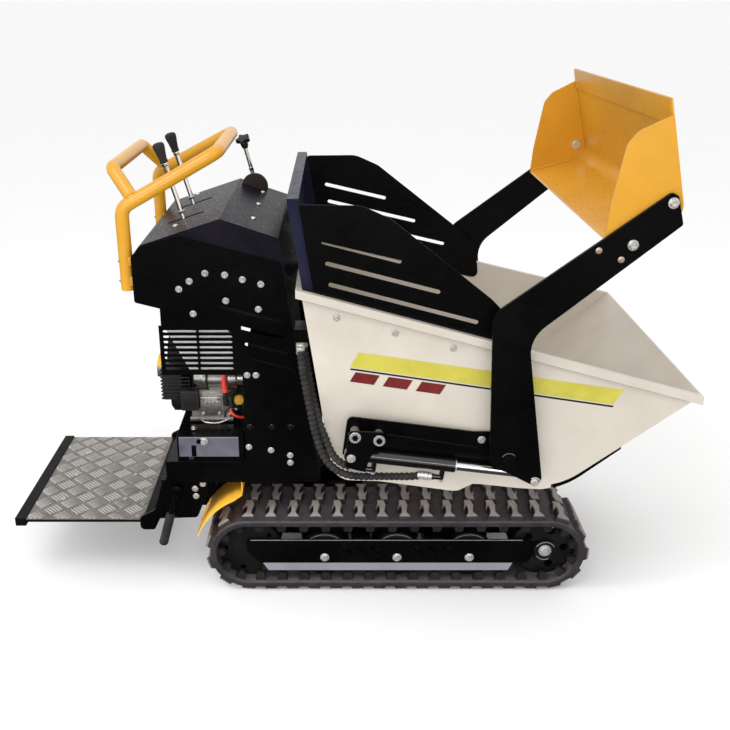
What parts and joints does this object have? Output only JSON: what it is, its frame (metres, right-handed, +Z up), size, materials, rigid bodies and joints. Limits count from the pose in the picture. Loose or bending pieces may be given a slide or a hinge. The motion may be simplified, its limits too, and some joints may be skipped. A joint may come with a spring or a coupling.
{
  "type": "tracked power carrier",
  "caption": "Walk-behind tracked carrier with a tipping skip, slotted side boards, a self-loading shovel on hydraulic arms, an engine bay and a fold-up operator platform.",
  "frame": {"origin": "ground level under the middle of the machine's length and width", "axes": "+X forward towards the skip lip, +Y to the machine's left, +Z up"},
  "size_m": [2.096, 1.06, 1.597],
  "materials": {
    "black_paint": "satin powder coat, black",
    "grey_paint": "satin powder coat, dark grey",
    "yellow_paint": "semi-gloss enamel, amber yellow",
    "cream_paint": "semi-gloss powder coat, warm white",
    "track_rubber": "matte moulded rubber",
    "hose_rubber": "matte rubber with a ribbed guard",
    "bolt_steel": "zinc plated",
    "chrome_rod": "hard chrome",
    "cast_aluminium": "as cast",
    "tread_plate": "bright tread plate",
    "machine_iron": "machined and painted iron",
    "black_plastic": "moulded plastic, black"
  },
  "bodies": {
    "chassis": {"main_frame": "black_paint", "track_frame_right": "grey_paint", "track_frame_left": "grey_paint", "track_belt_right": "track_rubber", "track_belt_left": "track_rubber", "travel_motors": "machine_iron", "side_panels": "black_paint", "console_shell": "black_paint", "console_cheeks": "black_paint", "handlebar": "yellow_paint", "chassis_bolts": "bolt_steel", "engine_bed": "black_paint", "engine_block": "cast_aluminium", "fan_shroud": "black_plastic", "starter_motor": "cast_aluminium", "muffler": "cast_aluminium", "guards": "black_paint", "fuel_tank": "black_plastic", "hydraulic_tank": "black_paint", "control_valve": "machine_iron", "gear_pump": "machine_iron", "fenders": "yellow_paint", "platform_brackets": "black_paint", "throttle_quadrant": "black_paint"},
    "platform": {"platform_deck": "tread_plate", "platform_rails": "black_paint"},
    "foot_lever": {"foot_lever": "black_paint"},
    "drive_lever_right": {"drive_lever_right": "bolt_steel"},
    "drive_lever_left": {"drive_lever_left": "bolt_steel"},
    "throttle_lever": {"throttle_lever": "black_plastic"},
    "skip": {"skip_tub": "cream_paint", "skip_underframe": "black_paint", "side_board_right": "black_paint", "side_board_left": "black_paint", "rear_board": "black_paint", "lift_beam_right": "black_paint", "lift_beam_left": "black_paint", "skip_bolts": "bolt_steel", "hoses_right": "hose_rubber", "hoses_left": "hose_rubber"},
    "loader": {"arm_right": "black_paint", "arm_left": "black_paint", "shovel": "yellow_paint", "loader_bolts": "bolt_steel"},
    "tip_barrel": {"tip_barrel": "black_paint"},
    "tip_rod": {"tip_rod": "chrome_rod"},
    "sprocket_right": {"sprocket_right": "machine_iron"},
    "idler_right": {"idler_right": "machine_iron"},
    "roller_right_1": {"roller_right_1": "machine_iron"},
    "roller_right_2": {"roller_right_2": "machine_iron"},
    "roller_right_3": {"roller_right_3": "machine_iron"},
    "lift_barrel_right": {"lift_barrel_right": "black_paint"},
    "lift_rod_right": {"lift_rod_right": "chrome_rod"},
    "sprocket_left": {"sprocket_left": "machine_iron"},
    "idler_left": {"idler_left": "machine_iron"},
    "roller_left_1": {"roller_left_1": "machine_iron"},
    "roller_left_2": {"roller_left_2": "machine_iron"},
    "roller_left_3": {"roller_left_3": "machine_iron"},
    "lift_barrel_left": {"lift_barrel_left": "black_paint"},
    "lift_rod_left": {"lift_rod_left": "chrome_rod"}
  },
  "joints": [
    {"name": "drive_right", "type": "hinge", "parent": "chassis", "child": "sprocket_right", "pos_m": [-0.285, -0.23, 0.14259], "axis": [0, 1, 0], "continuous": true},
    {"name": "idler_right_spin", "type": "hinge", "parent": "chassis", "child": "idler_right", "pos_m": [0.687, -0.23, 0.14259], "axis": [0, 1, 0], "continuous": true},
    {"name": "roller_right_1_spin", "type": "hinge", "parent": "chassis", "child": "roller_right_1", "pos_m": [-0.037, -0.23, 0.1185], "axis": [0, 1, 0], "continuous": true},
    {"name": "roller_right_2_spin", "type": "hinge", "parent": "chassis", "child": "roller_right_2", "pos_m": [0.201, -0.23, 0.1185], "axis": [0, 1, 0], "continuous": true},
    {"name": "roller_right_3_spin", "type": "hinge", "parent": "chassis", "child": "roller_right_3", "pos_m": [0.439, -0.23, 0.1185], "axis": [0, 1, 0], "continuous": true},
    {"name": "drive_left", "type": "hinge", "parent": "chassis", "child": "sprocket_left", "pos_m": [-0.285, 0.23, 0.14259], "axis": [0, 1, 0], "continuous": true},
    {"name": "idler_left_spin", "type": "hinge", "parent": "chassis", "child": "idler_left", "pos_m": [0.687, 0.23, 0.14259], "axis": [0, 1, 0], "continuous": true},
    {"name": "roller_left_1_spin", "type": "hinge", "parent": "chassis", "child": "roller_left_1", "pos_m": [-0.037, 0.23, 0.1185], "axis": [0, 1, 0], "continuous": true},
    {"name": "roller_left_2_spin", "type": "hinge", "parent": "chassis", "child": "roller_left_2", "pos_m": [0.201, 0.23, 0.1185], "axis": [0, 1, 0], "continuous": true},
    {"name": "roller_left_3_spin", "type": "hinge", "parent": "chassis", "child": "roller_left_3", "pos_m": [0.439, 0.23, 0.1185], "axis": [0, 1, 0], "continuous": true},
    {"name": "skip_tip", "type": "hinge", "parent": "chassis", "child": "skip", "pos_m": [0.66, 0, 0.405], "axis": [0, 1, 0], "range_deg": [0, 65]},
    {"name": "arm_lift", "type": "hinge", "parent": "skip", "child": "loader", "pos_m": [0.502, 0, 0.583], "axis": [0, -1, 0], "range_deg": [-103, 0]},
    {"name": "lift_barrel_right_swing", "type": "hinge", "parent": "skip", "child": "lift_barrel_right", "pos_m": [0.044, -0.48151, 0.585], "axis": [0, -1, 0], "range_deg": [-3.25, 0.3], "deforming": ["hoses_right"]},
    {"name": "lift_rod_right_stroke", "type": "slide", "parent": "lift_barrel_right", "child": "lift_rod_right", "axis": [0.9922, 0, -0.1249], "range_m": [-0.1651, 0.002]},
    {"name": "lift_barrel_left_swing", "type": "hinge", "parent": "skip", "child": "lift_barrel_left", "pos_m": [0.044, 0.48151, 0.585], "axis": [0, -1, 0], "range_deg": [-3.25, 0.3], "deforming": ["hoses_left"]},
    {"name": "lift_rod_left_stroke", "type": "slide", "parent": "lift_barrel_left", "child": "lift_rod_left", "axis": [0.9922, 0, -0.1249], "range_m": [-0.1651, 0.002]},
    {"name": "tip_barrel_swing", "type": "hinge", "parent": "chassis", "child": "tip_barrel", "pos_m": [-0.19, 0, 0.25], "axis": [0, -1, 0], "range_deg": [-0.3, 15.19]},
    {"name": "tip_rod_stroke", "type": "slide", "parent": "tip_barrel", "child": "tip_rod", "axis": [0.9532, 0, 0.3024], "range_m": [-0.002, 0.3096]},
    {"name": "platform_fold", "type": "hinge", "parent": "chassis", "child": "platform", "pos_m": [-0.616, 0, 0.238], "axis": [0, 1, 0], "range_deg": [0, 85]},
    {"name": "foot_lever_swing", "type": "hinge", "parent": "chassis", "child": "foot_lever", "pos_m": [-0.507, -0.3245, 0.374], "axis": [0, 1, 0], "range_deg": [-18, 12]},
    {"name": "drive_lever_right_swing", "type": "hinge", "parent": "chassis", "child": "drive_lever_right", "pos_m": [-0.435, -0.106, 1.09], "axis": [0, 1, 0], "range_deg": [-10.5, 14], "stiffness_Nm_per_rad": 20},
    {"name": "drive_lever_left_swing", "type": "hinge", "parent": "chassis", "child": "drive_lever_left", "pos_m": [-0.435, 0.106, 1.09], "axis": [0, 1, 0], "range_deg": [-10.5, 14], "stiffness_Nm_per_rad": 20},
    {"name": "throttle_swing", "type": "hinge", "parent": "chassis", "child": "throttle_lever", "pos_m": [-0.276, 0.255, 1.242], "axis": [0, 1, 0], "range_deg": [-15, 40]}
  ],
  "couplings": [
    {"joint": "idler_right_spin", "follows": "drive_right", "ratio": 1},
    {"joint": "roller_right_1_spin", "follows": "drive_right", "ratio": 1.4324},
    {"joint": "roller_right_2_spin", "follows": "drive_right", "ratio": 1.4324},
    {"joint": "roller_right_3_spin", "follows": "drive_right", "ratio": 1.4324},
    {"joint": "idler_left_spin", "follows": "drive_left", "ratio": 1},
    {"joint": "roller_left_1_spin", "follows": "drive_left", "ratio": 1.4324},
    {"joint": "roller_left_2_spin", "follows": "drive_left", "ratio": 1.4324},
    {"joint": "roller_left_3_spin", "follows": "drive_left", "ratio": 1.4324},
    {"joint": "lift_barrel_right_swing", "follows": "arm_lift", "ratio": 0.028678},
    {"joint": "lift_rod_right_stroke", "follows": "arm_lift", "m_per_rad": 0.090714},
    {"joint": "lift_barrel_left_swing", "follows": "arm_lift", "ratio": 0.028678},
    {"joint": "lift_rod_left_stroke", "follows": "arm_lift", "m_per_rad": 0.090714},
    {"joint": "tip_barrel_swing", "follows": "skip_tip", "ratio": 0.22905},
    {"joint": "tip_rod_stroke", "follows": "skip_tip", "m_per_rad": 0.27114}
  ]
}
